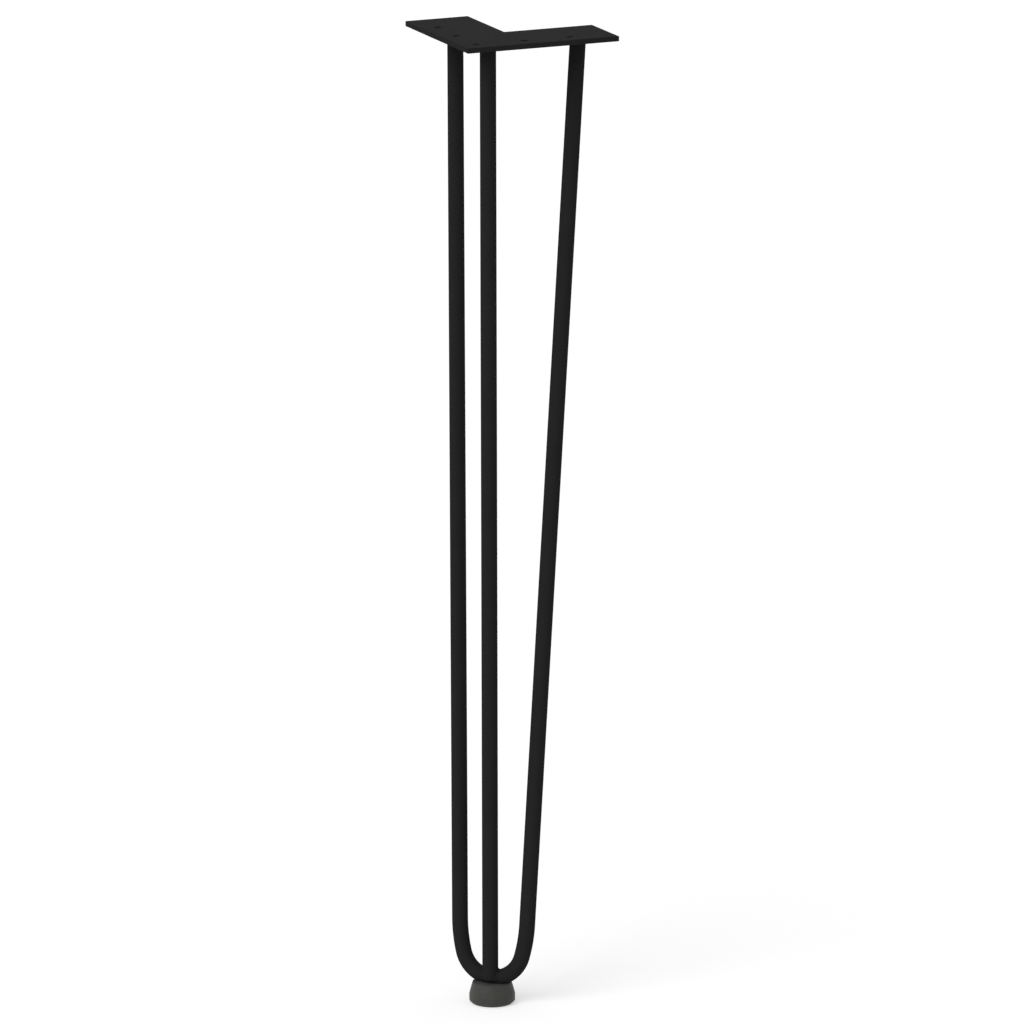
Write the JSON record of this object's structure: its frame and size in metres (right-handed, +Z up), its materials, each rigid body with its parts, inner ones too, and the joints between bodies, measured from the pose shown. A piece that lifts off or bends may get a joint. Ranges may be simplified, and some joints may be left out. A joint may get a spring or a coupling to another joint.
{
  "type": "hairpin table leg",
  "caption": "Hairpin table leg: an L-shaped screw plate with a rod bent to a narrow leaning U and a straight rod welded beneath it, and a rubber foot under the bend.",
  "frame": {"origin": "the middle of the foot's underside, where the leg stands on the floor", "axes": "+Z up to the table; +Y along the plate's diagonal, from its outer corner towards the table's middle; X across, so the plate's arms run at 45 degrees to X and Y and the leg is symmetric about the YZ plane"},
  "size_m": [0.1698, 0.1202, 0.734],
  "materials": {
    "powder_coated_steel": "satin black powder coat on steel",
    "foot_rubber": "matt dark grey moulded rubber"
  },
  "bodies": {
    "root": {"mounting_plate": "powder_coated_steel", "hairpin_rod": "powder_coated_steel", "third_rod": "powder_coated_steel", "weld_beads": "powder_coated_steel", "rubber_foot": "foot_rubber"}
  },
  "joints": []
}
